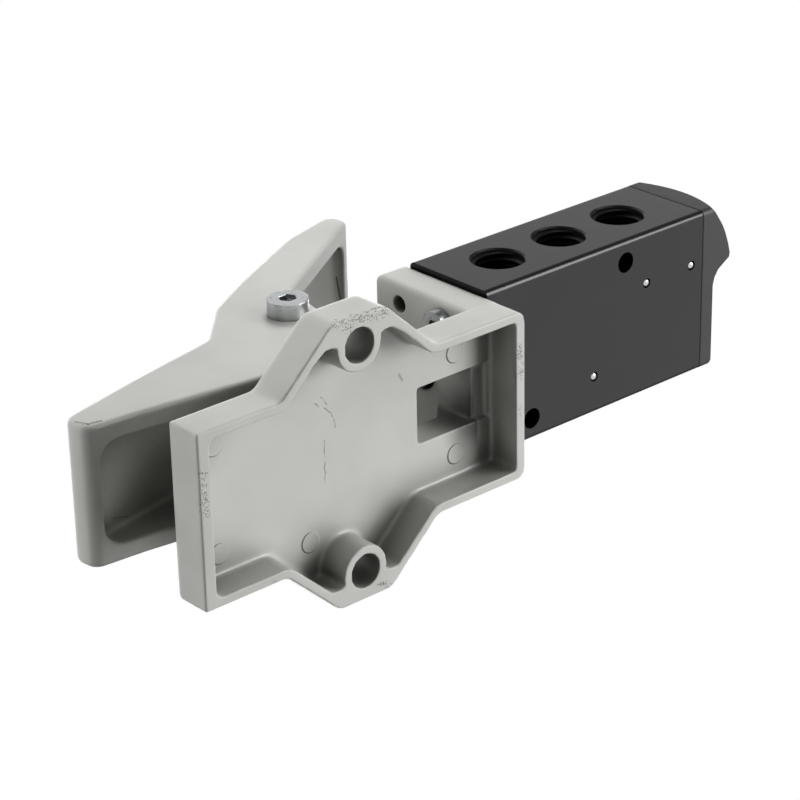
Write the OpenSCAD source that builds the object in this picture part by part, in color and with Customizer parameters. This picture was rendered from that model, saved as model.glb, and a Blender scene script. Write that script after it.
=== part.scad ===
// Foot pedal valve: a cast treadle on a floor base pushes the spool of a five-port air valve.
// Sizes are millimetres. The origin is midway between the two floor-fixing holes, on the floor.
// X runs from the heel of the pedal to the valve's end cap, Z is up.

/* [Floor base] */
// From the fixing holes back to the base's end under the heel
base_back = 45.8; // [42:0.1:55]
// From the fixing holes forward to the face that the valve bolts to
base_front = 51.4; // [48:0.1:60]
// Width of the plate away from the lugs
base_w = 43; // [41:0.5:50]
// Height of the plate's top above the floor
base_h = 11; // [9:0.5:13]
// Thickness of the plate above the hollow underside
plate_t = 2.6; // [2:0.1:4]
// Rim wall under the heel
rim_heel_t = 3.3; // [2:0.1:5]
// Rim wall along both sides
rim_side_t = 2.3; // [1.8:0.1:4]
// Rim wall under the valve
rim_valve_t = 2.7; // [2:0.1:4]
// Set-back of the base's end from the face that the valve bolts to
end_setback = 1; // [0.4:0.1:2]
// Rounding of the base's upper edge
base_edge_r = 2.2; // [1:0.1:2.5]

/* [Fixing lugs] */
// Distance between the two floor-fixing holes
fix_pitch = 56.2; // [54:0.2:64]
// Fixing hole for an M8 bolt
fix_hole_d = 8.4; // [6:0.1:9]
// Round boss about each fixing hole
fix_boss_d = 12.7; // [11.6:0.1:14]
// From the hole's centre to the lug's outer end
lug_margin = 7.2; // [7:0.1:10]
// Length of the lug along its outer end
lug_end_l = 15.6; // [12:0.2:22]
// Length of the lug where it leaves the plate
lug_root_l = 45.2; // [38:0.2:50]

/* [Window in the plate] */
// Length of the opening in front of the pedal's tongue
window_l = 22.7; // [16:0.1:24]
// Width of the opening
window_w = 14.2; // [13:0.1:16]
// Web left between the opening and the rim under the valve
window_margin = 0.9; // [0.5:0.1:3]
// Thickness of the upright ribs beside the opening
rib_t = 2.4; // [1.6:0.1:4]
// Height of those ribs above the floor
rib_top = 16.6; // [14:0.1:18]

/* [Valve flange] */
// Thickness of the upright flange
flange_t = 9.2; // [7:0.1:12]
// Width of the flange
flange_w = 40.4; // [38:0.2:42]
// Top of the flange above the floor
flange_top = 43.6; // [41:0.2:46]
// Rounding of the flange's outer edges
flange_edge_r = 1.3; // [0.5:0.1:1.8]
// Sideways distance between the flange's screw holes
screw_pitch_y = 29.8; // [28:0.2:32]
// Upward distance between the flange's screw holes
screw_pitch_z = 15; // [14:0.2:16]
// Clearance hole for the M4 screws
screw_hole_d = 4.3; // [4.1:0.1:5]
// Hole that the plunger passes through
plunger_hole_d = 9.4; // [9:0.1:11]

/* [Pivot] */
// Pivot axis in front of the fixing holes
pivot_x = 15.9; // [12:0.1:18]
// Pivot axis above the floor
pivot_z = 44.4; // [43:0.1:47]
// Thickness of each ear
ear_t = 3.2; // [2.5:0.1:3.4]
// Radius of the ear's round top
ear_r = 6.6; // [6:0.1:7]
// Length of the ear's foot on the plate
ear_foot_l = 27; // [22:0.5:30]
// Bush wall
bush_wall = 1.4; // [1:0.1:2]
// Thickness of the bush's outer flange
bush_flange_t = 0.8; // [0.5:0.1:1]
// Diameter of the pivot screw
pivot_d = 6; // [5:0.5:6]
// Head diameter of the pivot screw
pivot_head_d = 10; // [9:0.5:11]
// Head height of the pivot screw
pivot_head_h = 4; // [3:0.1:4.5]
// Key size of the pivot screw's socket
pivot_key = 4; // [3:0.5:5]
// Size of the lock nut across its flats
nut_af = 10; // [9:0.5:11]
// Height of the lock nut
nut_h = 6; // [5:0.5:7]
// Diameter of the washer under the nut
washer_d = 12; // [11:0.5:13]
// Thickness of that washer
washer_t = 1.6; // [1:0.1:2]

/* [Pedal] */
// Width over the pedal's cheeks
pedal_w = 34.9; // [34:0.1:38]
// Width of the rim that borders the hollow underside
cheek_t = 4.7; // [4:0.1:5]
// Thickness of the tread
tread_t = 4.4; // [3:0.1:5.5]
// Depth of the heel arm measured square to its tread
heel_t = 12.1; // [10:0.1:13]
// Height of the heel arm's blunt tip
heel_tip_h = 8.2; // [7:0.1:9]
// From the pivot back to the heel's nose
heel_reach = 71.6; // [60:0.2:78]
// From the pivot forward to the toe's tip
toe_reach = 49.4; // [42:0.1:54]
// Slope of the heel arm's tread
heel_slope = 13.5; // [10:0.5:18]
// Bow of the heel arm's tread above a straight line
heel_bow = 0.5; // [0.1:0.1:1]
// Slope of the toe arm's tread
toe_slope = 29; // [24:0.5:31]
// Bow of the toe arm's tread above a straight line
toe_bow = 0.8; // [0.1:0.1:1.2]
// Length of the flatter end of the toe arm
toe_end_l = 18.6; // [10:0.2:24]
// Slope of that end
toe_end_slope = 16; // [10:0.5:22]
// Slope of the toe arm's underside
toe_under_slope = 32.7; // [30:0.1:34]
// From the pivot forward to the foot of the toe arm's underside
toe_root_x = 10.4; // [9.5:0.1:12]
// Foot of the toe arm's underside above the pivot
toe_root_z = 11.1; // [9:0.1:13]
// From the pivot back to the valley between the arms
valley_back = 22.8; // [21:0.2:26]
// Valley above the pivot
valley_rise = 1.6; // [0:0.1:3]
// Slope of the step from the valley up to the toe arm
step_slope = 46; // [40:1:52]
// Height of that step
step_rise = 13.4; // [11:0.1:15]
// Rounding of the pedal's side edges
pedal_edge_r = 1.3; // [0.8:0.1:2.2]
// Wall between the heel arm's tip and its pocket
heel_rim = 2.9; // [2.5:0.1:5]
// Lowest point of the cheeks above the floor
skirt_z = 18.8; // [18.4:0.2:21]
// From the pivot to the cheeks' front edge
cheek_front = 7.6; // [7:0.1:9]
// Width of the tongue that works the plunger
tongue_w = 11; // [8:0.5:13]
// Radius of the tongue's round nose
nose_r = 5; // [4:0.1:6]
// Nose centre in front of the pivot
nose_x = 4.1; // [2:0.1:5]
// Radius of the hub between the ears
hub_r = 7; // [6:0.1:8]
// Swing of the pedal in degrees
pedal_swing = 12; // [8:1:12]

/* [Valve body] */
// Length of the body
valve_l = 74.5; // [74:0.5:84]
// Width of the body
valve_w = 43.4; // [41:0.2:48]
// Height of the body
valve_t = 27.2; // [26:0.2:30]
// Spool axis above the floor
axis_z = 27.2; // [25.2:0.1:28]
// Rounding of the body's long edges
valve_edge_r = 1.5; // [0.5:0.1:2.5]
// From the body's front face to the first port
port_first = 16.3; // [14.5:0.1:17]
// Distance between neighbouring ports of one side
port_pitch = 20.7; // [19.8:0.1:21.5]
// Port diameter over the G 1/4 thread
port_d = 13.16; // [9.7:0.01:13.2]
// Mouth of the port's chamfer
port_mouth_d = 14; // [13.4:0.1:14.4]
// Depth of the threaded port
port_depth = 10.5; // [9:0.1:11]
// Passage from the port to the spool
passage_d = 4.8; // [4:0.1:5]
// Through hole for an M5 fixing bolt
m5_hole_d = 5.3; // [4.5:0.1:5.5]
// First M5 hole behind the body's front face
m5_near = 14.6; // [12:0.1:15]
// Second M5 hole behind the first
m5_pitch = 32.1; // [31:0.1:33.5]
// Sideways distance of the M5 holes from the axis
m5_side = 15.9; // [15:0.1:17]
// Plug ball diameter
ball_d = 2.5; // [2:0.1:3]

/* [Spool and spring] */
// Diameter of the spool bore
bore_d = 14; // [13:0.1:14]
// Width of each gallery round the spool
gallery_w = 5.2; // [5:0.1:5.6]
// Depth of each gallery beyond the bore
gallery_depth = 1.5; // [1:0.1:1.8]
// Radial clearance of the spool's lands
land_gap = 0.1; // [0.05:0.01:0.15]
// Radial clearance of a seal in the bore
seal_gap = 0.05; // [0.02:0.01:0.08]
// Thickness of a seal ring
seal_d = 1.6; // [1.4:0.1:1.7]
// Metal beside each seal groove
land_side = 0.8; // [0.6:0.1:0.9]
// Lap of a closed seal over its edge
seal_lap = 0.9; // [0.8:0.1:1]
// Diameter of the spool between its lands
waist_d = 8.6; // [8:0.1:9.5]
// Diameter of the steel plunger
plunger_d = 8; // [7:0.1:8.2]
// Air left between the tongue and the plunger at rest
tip_gap = 0.3; // [0.2:0.05:0.5]
// Length of the guide bush behind the body's front face
guide_l = 5.6; // [5:0.1:6]
// Wire of the return spring
spring_wire = 1.1; // [0.9:0.1:1.2]
// Mean diameter of the return spring
spring_d = 9.2; // [8.6:0.1:9.6]
// Coils of the return spring
spring_turns = 4.5; // [3.5:0.5:5]

/* [End cap] */
// Depth of the cap at the body's corners
cap_base_t = 4.2; // [3.8:0.1:5]
// Depth of the cap along its top edge
cap_top_t = 3.3; // [2:0.1:3.5]
// Height and depth of the seam line between cap and body
cap_seam = 0.3; // [0.1:0.1:0.5]
// Extra depth in the middle of its height
cap_crown = 3.4; // [2.5:0.1:4]
// Height of the cap's hump over the rest
cap_hump = 6.1; // [4:0.1:7]
// Socket for the spring in the cap
cap_pocket = 2.4; // [1.8:0.1:2.6]
// Cap screw shank diameter
cap_screw_d = 3; // [2.5:0.1:3.5]
// Cap screw head diameter
cap_head_d = 5.5; // [5:0.1:6]
// Distance of a cap screw's axis from the body's edges
cap_screw_edge = 4.5; // [4:0.1:6]

/* [Hidden] */
// Air between pieces that move past each other
free_gap = 0.3;
// Running clearance of the pivot screw in its bushes
run_gap = 0.05;
// Fit of a screw or a plug in its own hole
fit_gap = 0.02;
// Overrun of a cut past the face it opens
cut = 1;
// Overrun of a cut or a trimming block past a curved end
far = 30;
// Points along each rounded corner
corner_n = 5;
// Rings along each rounded edge
edge_n = 3;
// How far a rounded slab's skin runs past its flat ends
edge_over = 0.1;
// Side of the block that trims it
trim_l = 400;
$fn = 64;

under_z = base_h - plate_t;
window_end = base_front - end_setback - rim_valve_t - window_margin;
flange_x = base_front - flange_t;
flange_half = flange_w / 2;
lug_end_y = fix_pitch / 2 + lug_margin;
cheek_out = pedal_w / 2;
cheek_in = cheek_out - cheek_t;
ear_out = cheek_in - free_gap - bush_flange_t;
ear_in = ear_out - ear_t;
bush_r = pivot_d / 2 + run_gap + bush_wall;
nut_y = cheek_out + washer_t;
screw_end_y = nut_y + nut_h + 2;

// Travel of the plunger for the whole swing of the pedal
nose_drop = pivot_z - axis_z;
travel = nose_x * (cos(pedal_swing) - 1) + nose_drop * sin(pedal_swing);
tip_x = pivot_x + nose_x + nose_r + tip_gap;
valve_end = base_front + valve_l;
bore_r = bore_d / 2;
gallery_pitch = port_pitch / 2;
gallery_x = [for (i = [0:4]) base_front + port_first + i * gallery_pitch];
rib_half = (gallery_pitch - gallery_w) / 2;
land_r = bore_r - land_gap;
seal_ring_r = bore_r - seal_gap - seal_d / 2;
land_half = seal_d / 2 + land_side;
guide_in = base_front + guide_l;
spool_front = guide_in + free_gap;
// Seals stand at rest so that a swing closes the open edges and opens the closed ones
seal_x = [
    spool_front + land_half,
    gallery_x[1] - gallery_w / 2 - seal_lap,
    gallery_x[1] + gallery_w / 2 + seal_lap - travel,
    gallery_x[3] - gallery_w / 2 - seal_lap,
    gallery_x[3] + gallery_w / 2 + seal_lap - travel,
    gallery_x[4] + gallery_w / 2 + seal_lap
];
spool_end = seal_x[5] + land_half;
seat_x = valve_end + cap_pocket;
seat_t = 1;

screw_y = screw_pitch_y / 2;
screw_z = screw_pitch_z / 2;
cap_screw_y = valve_w / 2 - cap_screw_edge;
cap_screw_z = valve_t / 2 - cap_screw_edge;
// Thread, low head, key and depth in the body of the screws that hold the valve to the flange
m4_d = 4;
m4_head_d = 7;
m4_head_h = 2.8;
m4_key = 2.5;
m4_bite = 9;
// Height of a cap screw's head
cap_head_h = 2;
// How deep a cap screw's head is sunk from the cap's thin part
cap_head_sink = 1.5;
// How far the cap screws reach into the body
cap_bite = 6;

// Small vector helpers
function unit(v) = v / norm(v);
function normal(a, b) = let (d = unit(b - a)) [-d[1], d[0]];

// Arc points that round the corner at b, or b itself when r is 0
function corner(a, b, c, r) =
    r == 0 ? [b] :
    let (
        u = unit(a - b),
        v = unit(c - b),
        half = acos(u * v) / 2,
        centre = b + unit(u + v) * r / sin(half),
        s = b + u * r / tan(half) - centre,
        e = b + v * r / tan(half) - centre,
        start = atan2(s[1], s[0]),
        turn = (atan2(e[1], e[0]) - start + 540) % 360 - 180
    )
    [for (i = [0:corner_n]) centre + r * [cos(start + turn * i / corner_n),
                                          sin(start + turn * i / corner_n)]];

// Closed outline from corners given as [x, y, radius]
function rounded(c) =
    let (n = len(c), p = [for (k = c) [k[0], k[1]]])
    [for (i = [0:n - 1]) each corner(p[(i + n - 1) % n], p[i], p[(i + 1) % n], c[i][2])];

// Outline moved inward by d; the outline runs anticlockwise
function inset(p, d) =
    let (n = len(p))
    [for (i = [0:n - 1])
        let (a = normal(p[(i + n - 1) % n], p[i]), b = normal(p[i], p[(i + 1) % n]))
        p[i] + d * (a + b) / (1 + a * b)];

// Solid through a stack of rings that have equal numbers of points
module skin(rings) {
    n = len(rings[0]);
    m = len(rings);
    sides = [for (k = [0:m - 2], i = [0:n - 1])
        [k * n + i, (k + 1) * n + i, (k + 1) * n + (i + 1) % n, k * n + (i + 1) % n]];
    ends = [[for (i = [0:n - 1]) i], [for (i = [n - 1:-1:0]) (m - 1) * n + i]];
    polyhedron(points = [for (r = rings) each r], faces = concat(sides, ends));
}

// Upright slab of an outline with its lower and upper edges rounded. The skin runs past both
// ends, and a block trims it, so that each end is one flat face.
module soft_slab(p, z0, z1, r0, r1) {
    rise = edge_over * tan(45 / edge_n);
    low = r0 == 0 ? [[0, z0 - 1]] : concat(
        [[r0 + edge_over, z0 - rise]],
        [for (k = [1:edge_n]) let (a = 90 * k / edge_n)
            [r0 * (1 - sin(a)), z0 + r0 * (1 - cos(a))]]);
    high = r1 == 0 ? [[0, z1 + 1]] : concat(
        [for (k = [edge_n:-1:1]) let (a = 90 * k / edge_n)
            [r1 * (1 - sin(a)), z1 - r1 * (1 - cos(a))]],
        [[r1 + edge_over, z1 + rise]]);
    intersection() {
        skin([for (s = concat(low, high)) [for (q = inset(p, s[0])) [q[0], q[1], s[1]]]]);
        translate([-trim_l / 2, -trim_l / 2, z0])
            cube([trim_l, trim_l, z1 - z0]);
    }
}

// Outline drawn in X and Z, extruded between two Y planes
module slab_y(p, y0, y1) {
    translate([0, y1, 0])
        rotate([90, 0, 0])
            linear_extrude(y1 - y0)
                polygon(p);
}

// Round bars along each axis
module bar_x(x0, x1, r) {
    translate([x0, 0, 0])
        rotate([0, 90, 0])
            cylinder(h = x1 - x0, r = r);
}

module bar_y(y0, y1, r) {
    translate([0, y0, 0])
        rotate([-90, 0, 0])
            cylinder(h = y1 - y0, r = r);
}

// Hexagonal bar along Y measured across its flats
module hex_y(y0, y1, across) {
    translate([0, y0, 0])
        rotate([-90, 0, 0])
            cylinder(h = y1 - y0, r = across / sqrt(3), $fn = 6);
}

// Hexagonal bar along X measured across its flats
module hex_x(x0, x1, across) {
    translate([x0, 0, 0])
        rotate([0, 90, 0])
            cylinder(h = x1 - x0, r = across / sqrt(3), $fn = 6);
}

// Block along X with rounded long edges
module round_block(x0, x1, w, t, r) {
    translate([x0, 0, 0])
        rotate([90, 0, 90])
            linear_extrude(x1 - x0)
                union() {
                    square([w - 2 * r, t], center = true);
                    square([w, t - 2 * r], center = true);
                    for (sy = [-1, 1], sz = [-1, 1])
                        translate([sy * (w / 2 - r), sz * (t / 2 - r)])
                            circle(r);
                }
}

// The base's plan: a plate with a lug on each side, drawn smaller by the wall thicknesses given,
// with corners of radius r, and others, rh and rv, at the heel's end and at the valve's
function base_plan(heel, side, valve, r, rh, rv) =
    let (
        y = base_w / 2 - side,
        ly = lug_end_y - side,
        le = lug_end_l / 2 - side * 0.4,
        lr = lug_root_l / 2 - side * 0.4
    )
    rounded([
        [le, -ly, r + 1], [lr, -y, r + side], [base_front - valve, -y, rv],
        [base_front - valve, y, rv], [lr, y, r + side], [le, ly, r + 1], [-le, ly, r + 1],
        [-lr, y, r + side], [-base_back + heel, y, rh], [-base_back + heel, -y, rh],
        [-lr, -y, r + side], [-le, -ly, r + 1]
    ]);

// Ear outline: a foot on the plate that narrows to a round top about the pivot
function ear_outline() =
    let (a0 = 8, n = 14)
    concat(
        [[pivot_x - ear_foot_l / 2, under_z + 0.5], [pivot_x + ear_foot_l / 2, under_z + 0.5],
         [pivot_x + ear_foot_l / 2 - 1, base_h + 1.5], [pivot_x + ear_r + 1.6, base_h + 9]],
        [for (i = [0:n]) let (a = -a0 + (180 + 2 * a0) * i / n)
            [pivot_x + ear_r * cos(a), pivot_z + ear_r * sin(a)]],
        [[pivot_x - ear_r - 1.6, base_h + 9], [pivot_x - ear_foot_l / 2 + 1, base_h + 1.5]]
    );

module base() {
    color([0.78, 0.78, 0.75])
    difference() {
        union() {
            difference() {
                soft_slab(base_plan(0, 0, end_setback, base_edge_r + 1, 0, base_edge_r + 0.3),
                    0, base_h, 0, base_edge_r);
                translate([0, 0, -cut])
                    linear_extrude(under_z + cut)
                        polygon(base_plan(rim_heel_t, rim_side_t, end_setback + rim_valve_t, 2, 2, 1.2));
            }
            for (s = [-1, 1])
                translate([0, s * fix_pitch / 2, 0])
                    cylinder(h = under_z + 0.5, d = fix_boss_d);
            // Upright flange for the valve
            translate([flange_x, 0, 0])
                rotate([90, 0, 90])
                    soft_slab(rounded([
                        [-flange_half, under_z + 1.4, 0], [flange_half, under_z + 1.4, 0],
                        [flange_half, flange_top, flange_edge_r + 0.7],
                        [-flange_half, flange_top, flange_edge_r + 0.7]
                    ]), 0, flange_t, flange_edge_r, 0.6);
            for (s = [-1, 1]) {
                slab_y(ear_outline(), s < 0 ? -ear_out : ear_in, s < 0 ? -ear_in : ear_out);
                // Ribs that frame the window and brace the flange
                slab_y([[pivot_x, under_z], [flange_x + 2, under_z], [flange_x + 2, rib_top + 5],
                        [flange_x, rib_top + 5], [flange_x - 5, rib_top], [pivot_x, rib_top]],
                    s < 0 ? -window_w / 2 - rib_t : window_w / 2,
                    s < 0 ? -window_w / 2 : window_w / 2 + rib_t);
            }
        }
        for (s = [-1, 1]) {
            translate([0, s * fix_pitch / 2, -cut])
                cylinder(h = base_h + 2 * cut, d = fix_hole_d);
        }
        // Window through the plate, with a step under the flange's foot
        translate([window_end - window_l, -window_w / 2, -cut])
            cube([window_l, window_w, under_z + 1.4 + cut]);
        translate([window_end - window_l, -window_w / 2, 0])
            cube([flange_x - window_end + window_l, window_w, rib_top + cut]);
        translate([pivot_x, 0, pivot_z])
            bar_y(-ear_out - cut, ear_out + cut, bush_r);
        // Plunger hole and the four screw holes of the flange
        translate([0, 0, axis_z]) {
            bar_x(flange_x - cut, base_front + cut, plunger_hole_d / 2);
            for (y = [-screw_y, screw_y], z = [-screw_z, screw_z])
                translate([0, y, z])
                    bar_x(flange_x - cut, base_front + cut, screw_hole_d / 2);
        }
    }
}

// Pedal outline in X and Z about the pivot, anticlockwise from the heel's lower edge
heel_fall = heel_t / cos(heel_slope);
step_x = -valley_back + step_rise / tan(step_slope);
step_z = valley_rise + step_rise;
bend_x = toe_reach - toe_end_l;
bend_z = step_z + (bend_x - step_x) * tan(toe_slope);
toe_top = bend_z + toe_end_l * tan(toe_end_slope);
toe_low = toe_root_z + (toe_reach - toe_root_x) * tan(toe_under_slope);
skirt_low = skirt_z - pivot_z;
heel_mid = (heel_reach + valley_back) / 2;
hollow_back = -heel_reach + heel_rim;
hollow_front = toe_reach - 3;

// Height of the heel arm's tread at a distance behind the pivot
function heel_z(back) = valley_rise - (back - valley_back) * tan(heel_slope);

function pedal_outline() = rounded([
    [-heel_reach - 0.3, heel_z(heel_reach) - heel_tip_h, 3],
    [-heel_reach + 13, heel_z(heel_reach - 13) - heel_fall, 6],
    [-valley_back - 2.5, skirt_low + 1.5, 6],
    [-valley_back + 6.5, skirt_low, 5],
    [-4, skirt_low, 7],
    [cheek_front - 1.6, skirt_low + 15, 8],
    [cheek_front, -1.5, 6],
    [cheek_front + 1.4, 4, 4],
    [toe_root_x, toe_root_z, 3],
    [toe_reach - 0.1, toe_low, pedal_edge_r + 0.2],
    [toe_reach + 0.3, toe_top + 0.1, 3.4],
    [bend_x, bend_z, 20],
    [step_x + 0.3 * (bend_x - step_x), step_z + 0.3 * (bend_z - step_z) + toe_bow, 250],
    [step_x, step_z, 10],
    [-valley_back, valley_rise, 7],
    [-heel_mid, heel_z(heel_mid) + heel_bow, 500],
    [-heel_reach - 1.4, heel_z(heel_reach + 1.4), 4.2]
]);

// Hollow below the tread, as deep as the tread's thickness allows
function pedal_hollow() =
    let (
        h = tread_t / cos(heel_slope),
        t = tread_t / cos(toe_slope),
        e = tread_t / cos(toe_end_slope)
    )
    rounded([
        [hollow_back, -60, 0],
        [hollow_front, -60, 0],
        [hollow_front, toe_low - 1, 0],
        [hollow_front - 1, toe_top - 4 * tan(toe_end_slope) - e, 2],
        [bend_x + tread_t * 0.3, bend_z - e, 8],
        [step_x + tread_t * 0.4, step_z - t, 4],
        [-valley_back + tread_t * 0.5, valley_rise - h - 0.4, 5],
        [hollow_back, heel_z(-hollow_back) - h, 3]
    ]);

// Hub and tongue between the ears, with a web up to the tread
function tongue_outline() =
    let (n = 10)
    concat(
        [for (i = [0:n]) let (a = -96 + 130 * i / n)
            [nose_x + nose_r * cos(a), -nose_drop + nose_r * sin(a)]],
        [for (i = [0:n]) let (a = -20 + 60 * i / n)
            [hub_r * cos(a), hub_r * sin(a)]],
        [[step_x + 12, step_z + 2], [step_x + 1, step_z - 1]],
        [for (i = [0:n]) let (a = 150 + 60 * i / n)
            [hub_r * cos(a), hub_r * sin(a)]],
        [[nose_x - nose_r - 1, -nose_drop]]
    );

module pedal() {
    color([0.80, 0.80, 0.77])
    translate([pivot_x, 0, pivot_z])
    difference() {
        union() {
            difference() {
                translate([0, cheek_out, 0])
                    rotate([90, 0, 0])
                        soft_slab(pedal_outline(), 0, pedal_w, pedal_edge_r, pedal_edge_r);
                intersection() {
                    slab_y(pedal_hollow(), -cheek_in, cheek_in);
                    translate([0, 0, -70])
                        linear_extrude(140)
                            polygon(rounded([
                                [hollow_back, -cheek_in, 5], [hollow_front, -cheek_in, 4],
                                [hollow_front, cheek_in, 4], [hollow_back, cheek_in, 5]
                            ]));
                }
            }
            slab_y(tongue_outline(), -tongue_w / 2, tongue_w / 2);
            bar_y(-ear_in + free_gap, ear_in - free_gap, hub_r - 0.5);
        }
        bar_y(-cheek_out - cut, cheek_out + cut, pivot_d / 2 + run_gap);
    }
}

// Screw along Y with a low round head and a hex socket
module pivot_screw() {
    color([0.72, 0.73, 0.75])
    translate([pivot_x, 0, pivot_z])
    difference() {
        union() {
            bar_y(-cheek_out - pivot_head_h, -cheek_out, pivot_head_d / 2);
            bar_y(-cheek_out - 0.5, screw_end_y, pivot_d / 2);
        }
        hex_y(-cheek_out - pivot_head_h - cut, -cheek_out - pivot_head_h + 2.2, pivot_key);
    }
}

module pivot_washer() {
    color([0.70, 0.71, 0.73])
    translate([pivot_x, 0, pivot_z])
    difference() {
        bar_y(cheek_out, cheek_out + washer_t, washer_d / 2);
        bar_y(cheek_out - cut, cheek_out + washer_t + cut, pivot_d / 2 + 0.2);
    }
}

module pivot_nut() {
    color([0.70, 0.71, 0.73])
    translate([pivot_x, 0, pivot_z])
    difference() {
        union() {
            hex_y(nut_y, nut_y + nut_h - 1.8, nut_af);
            bar_y(nut_y + nut_h - 2, nut_y + nut_h, nut_af / 2 - 0.6);
        }
        bar_y(nut_y - cut, nut_y + nut_h + cut, pivot_d / 2 + fit_gap);
    }
}

// Flanged bush in one ear; s is the side
module ear_bush(s) {
    color([0.66, 0.52, 0.30])
    translate([pivot_x, 0, pivot_z])
    rotate([0, 0, s < 0 ? 180 : 0])
    difference() {
        union() {
            bar_y(ear_in, ear_out, bush_r - fit_gap);
            bar_y(ear_out, ear_out + bush_flange_t, bush_r + 1.4);
        }
        bar_y(ear_in - cut, ear_out + bush_flange_t + cut, pivot_d / 2 + run_gap);
    }
}

// M4 screw that holds the valve to the flange, at one corner of the pattern
module valve_screw(y, z) {
    head_x = flange_x;
    color([0.72, 0.73, 0.75])
    translate([0, y, axis_z + z])
    difference() {
        union() {
            bar_x(head_x - m4_head_h, head_x, m4_head_d / 2);
            bar_x(head_x - 0.5, base_front + m4_bite - 1, m4_d / 2);
        }
        hex_x(head_x - m4_head_h - cut, head_x - m4_head_h + 2, m4_key);
    }
}

// Ports: a mouth chamfer, the thread's bore, the drill's cone and a passage to the gallery
module port_cut(side) {
    face = valve_w / 2;
    rotate([-90 * side, 0, 0]) {
        translate([0, 0, face - (port_mouth_d - port_d) / 2])
            cylinder(h = (port_mouth_d - port_d) / 2 + 0.01, d1 = port_d, d2 = port_mouth_d + 0.02);
        translate([0, 0, face - port_depth])
            cylinder(h = port_depth, d = port_d);
        translate([0, 0, bore_r])
            cylinder(h = face - port_depth - bore_r + cut, d = passage_d);
    }
}

module valve_body() {
    color([0.10, 0.10, 0.11])
    translate([0, 0, axis_z])
    difference() {
        round_block(base_front, valve_end, valve_w, valve_t, valve_edge_r);
        bar_x(base_front - cut, valve_end + cut, bore_r);
        for (x = gallery_x)
            bar_x(x - gallery_w / 2, x + gallery_w / 2, bore_r + gallery_depth);
        for (i = [0:4])
            translate([gallery_x[i], 0, 0])
                port_cut(i % 2 == 0 ? -1 : 1);
        translate([base_front + m5_near, m5_side, 0])
            cylinder(h = valve_t + 2 * cut, d = m5_hole_d, center = true);
        translate([base_front + m5_near + m5_pitch, -m5_side, 0])
            cylinder(h = valve_t + 2 * cut, d = m5_hole_d, center = true);
        for (s = [-1, 1])
            translate([0, s * screw_y, s * screw_z])
                bar_x(base_front - cut, base_front + m4_bite, m4_d / 2 + fit_gap);
        for (y = [-cap_screw_y, cap_screw_y], z = [-cap_screw_z, cap_screw_z])
            translate([0, y, z])
                bar_x(valve_end - cap_bite - 1, valve_end + cut, cap_screw_d / 2 + fit_gap);
        for (b = balls())
            translate([b[0], b[1], -valve_t / 2 - 0.1])
                cylinder(h = ball_d, d = ball_d + 2 * fit_gap);
    }
}

// Plug balls on the body's lower face, placed from the ports and the far end
function balls() = [
    [gallery_x[2] - 0.9, 11.6],
    [gallery_x[4] - 3.3, -8.2],
    [valve_end - 3.9, -8.3]
];

module plug_ball(i) {
    color([0.82, 0.83, 0.84])
    translate([balls()[i][0], balls()[i][1], axis_z - valve_t / 2 + ball_d / 2 - 0.35])
        sphere(d = ball_d);
}

module guide_bush() {
    color([0.70, 0.58, 0.32])
    translate([0, 0, axis_z])
    difference() {
        bar_x(base_front + fit_gap, guide_in, bore_r - fit_gap);
        bar_x(base_front - cut, guide_in + cut, plunger_d / 2 + seal_gap);
        bar_x(base_front - cut, base_front + 1.8, plunger_d / 2 + 1.6);
    }
}

module wiper_seal() {
    color([0.12, 0.12, 0.12])
    translate([0, 0, axis_z])
    difference() {
        bar_x(base_front + 0.1, base_front + 1.78, plunger_d / 2 + 1.6 - fit_gap);
        bar_x(base_front - cut, base_front + 1.8 + cut, plunger_d / 2 + seal_gap);
    }
}

module plunger() {
    r = plunger_d / 2;
    dome_r = 14;
    dome_h = dome_r - sqrt(dome_r * dome_r - r * r);
    color([0.74, 0.75, 0.77])
    translate([tip_x, 0, axis_z])
        rotate([0, 90, 0])
            rotate_extrude()
                union() {
                    intersection() {
                        square([r, dome_h + 1]);
                        translate([0, dome_r])
                            circle(dome_r, $fn = 128);
                    }
                    translate([0, dome_h])
                        square([r, spool_front - tip_x - dome_h]);
                    translate([0, dome_h])
                        square([2.5, spool_front + 6 - tip_x - dome_h]);
                }
}

module spool() {
    lands = [[seal_x[0], seal_x[0]], [seal_x[1], seal_x[2]], [seal_x[3], seal_x[4]], [seal_x[5], seal_x[5]]];
    color([0.62, 0.64, 0.68])
    translate([0, 0, axis_z])
    difference() {
        union() {
            bar_x(spool_front, spool_end, waist_d / 2);
            for (l = lands)
                bar_x(l[0] - land_half, l[1] + land_half, land_r);
            bar_x(spool_end - 0.5, spool_end + 3, spring_d / 2 - spring_wire / 2 - free_gap);
        }
        for (x = seal_x)
            difference() {
                bar_x(x - seal_d / 2 - fit_gap, x + seal_d / 2 + fit_gap, bore_r + 1);
                bar_x(x - seal_d, x + seal_d, seal_ring_r - seal_d / 2 - fit_gap);
            }
        bar_x(spool_front - cut, spool_front + 6.2, 2.5 + fit_gap);
    }
}

module spool_seal(i) {
    color([0.14, 0.14, 0.15])
    translate([seal_x[i], 0, axis_z])
        rotate([0, 90, 0])
            rotate_extrude()
                translate([seal_ring_r, 0])
                    circle(d = seal_d, $fn = 24);
}

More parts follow.
